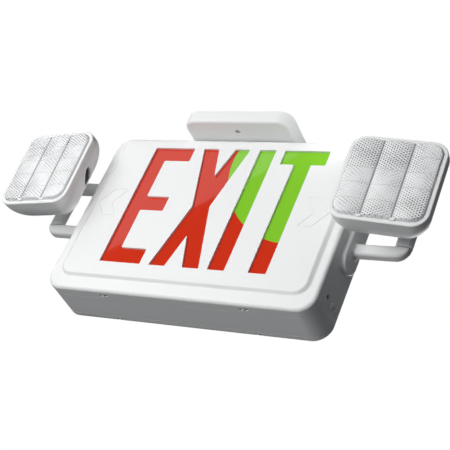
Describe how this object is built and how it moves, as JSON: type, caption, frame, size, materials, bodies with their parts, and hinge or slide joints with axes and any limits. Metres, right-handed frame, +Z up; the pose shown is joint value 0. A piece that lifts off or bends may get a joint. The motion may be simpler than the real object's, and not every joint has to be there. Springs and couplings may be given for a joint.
{
  "type": "emergency exit light",
  "caption": "Ceiling-hung emergency exit light: thin housing with a lit legend panel, battery inside, and adjustable lamp heads on side forks.",
  "frame": {"origin": "centre of the mounting plate's top face, where the canopy meets the ceiling", "axes": "+Z up, -Y the way the legend faces, +X to the right of someone reading it"},
  "size_m": [0.4886, 0.1174, 0.219],
  "materials": {
    "white": "satin",
    "steel": "zinc plated",
    "legend": "translucent, glossy",
    "opal": "translucent matt white",
    "board": "white solder mask",
    "battery_wrap": "shrink wrap",
    "component": "moulded",
    "switch_body": "satin",
    "button": "satin",
    "indicator": "tinted",
    "lens": "clear, prismatic",
    "mirror_coat": "vacuum metallised"
  },
  "bodies": {
    "housing": {"canopy": "white", "mounting_plate": "steel", "canopy_screws": "steel", "neck_spacer": "white", "nipple": "steel", "nipple_nuts": "steel", "face_cover": "white", "housing_frame": "white", "back_cover": "white", "legend_panel": "legend", "diffuser_sheet": "opal", "light_tray": "opal", "legend_led_board_top": "board", "legend_led_board_bottom": "board", "battery_pack": "battery_wrap", "battery_clip": "steel", "charger_board": "board", "transformer": "component", "transfer_relay": "component", "terminal_block": "component", "capacitors": "component", "test_switch": "switch_body", "indicator_led": "indicator", "bracket_screws": "steel", "fork_bracket_left": "white", "pan_pin_left": "steel", "fork_bracket_right": "white", "pan_pin_right": "steel"},
    "test_button": {"test_button": "button"},
    "swivel_left": {"knuckle_left": "white"},
    "head_left": {"tilt_pin_left": "steel", "lamp_shell_left": "white", "lamp_rim_left": "white", "lamp_lens_left": "lens", "lamp_reflector_left": "mirror_coat", "lamp_board_left": "board"},
    "swivel_right": {"knuckle_right": "white"},
    "head_right": {"tilt_pin_right": "steel", "lamp_shell_right": "white", "lamp_rim_right": "white", "lamp_lens_right": "lens", "lamp_reflector_right": "mirror_coat", "lamp_board_right": "board"}
  },
  "joints": [
    {"name": "test_button_press", "type": "slide", "parent": "housing", "child": "test_button", "axis": [-1, 0, 0], "range_m": [0, 0.0012], "stiffness_N_per_m": 1500, "springref_m": -0.0004},
    {"name": "head_pan_left", "type": "hinge", "parent": "housing", "child": "swivel_left", "pos_m": [-0.2035, 0.00425, -0.0991], "axis": [0, 0, -1], "range_deg": [-3, 75]},
    {"name": "head_tilt_left", "type": "hinge", "parent": "swivel_left", "child": "head_left", "pos_m": [-0.19262, -0.01968, -0.0892], "axis": [0.9932, -0.1167, 0], "range_deg": [-20, 16]},
    {"name": "head_pan_right", "type": "hinge", "parent": "housing", "child": "swivel_right", "pos_m": [0.2035, 0.00425, -0.0991], "axis": [0, 0, 1], "range_deg": [-3, 75]},
    {"name": "head_tilt_right", "type": "hinge", "parent": "swivel_right", "child": "head_right", "pos_m": [0.19262, -0.01968, -0.0892], "axis": [0.9932, 0.1167, 0], "range_deg": [-20, 16]}
  ]
}
